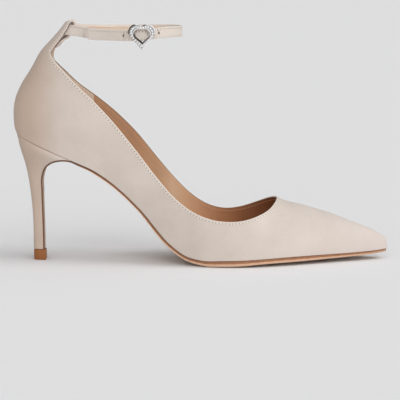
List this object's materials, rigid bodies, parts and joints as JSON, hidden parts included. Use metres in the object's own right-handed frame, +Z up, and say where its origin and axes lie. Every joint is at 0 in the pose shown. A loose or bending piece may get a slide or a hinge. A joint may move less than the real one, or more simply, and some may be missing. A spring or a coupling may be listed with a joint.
{
  "type": "ankle strap court shoe",
  "caption": "Closed court shoe with a pointed toe, a slim high heel and an ankle strap that runs through a folded tab at the back and closes with a heart shaped buckle.",
  "frame": {"origin": "on the floor, under the middle of the shoe's box", "axes": "+X from heel to toe, +Y to the inner side of the foot, +Z up"},
  "size_m": [0.2482, 0.0743, 0.159],
  "materials": {
    "suede": "beige suede with a fine short nap, matt",
    "sole_leather": "tan sole leather with a stained edge, satin",
    "tip": "brown hard wearing tip, satin",
    "lining": "smooth tan lining leather, satin",
    "metal": "bright silver metal set with clear stones"
  },
  "bodies": {
    "root": {"outsole": "sole_leather", "heel": "suede", "top_piece": "tip", "upper": "suede", "insole": "lining", "ankle_strap": "suede", "buckle": "metal"}
  },
  "joints": []
}
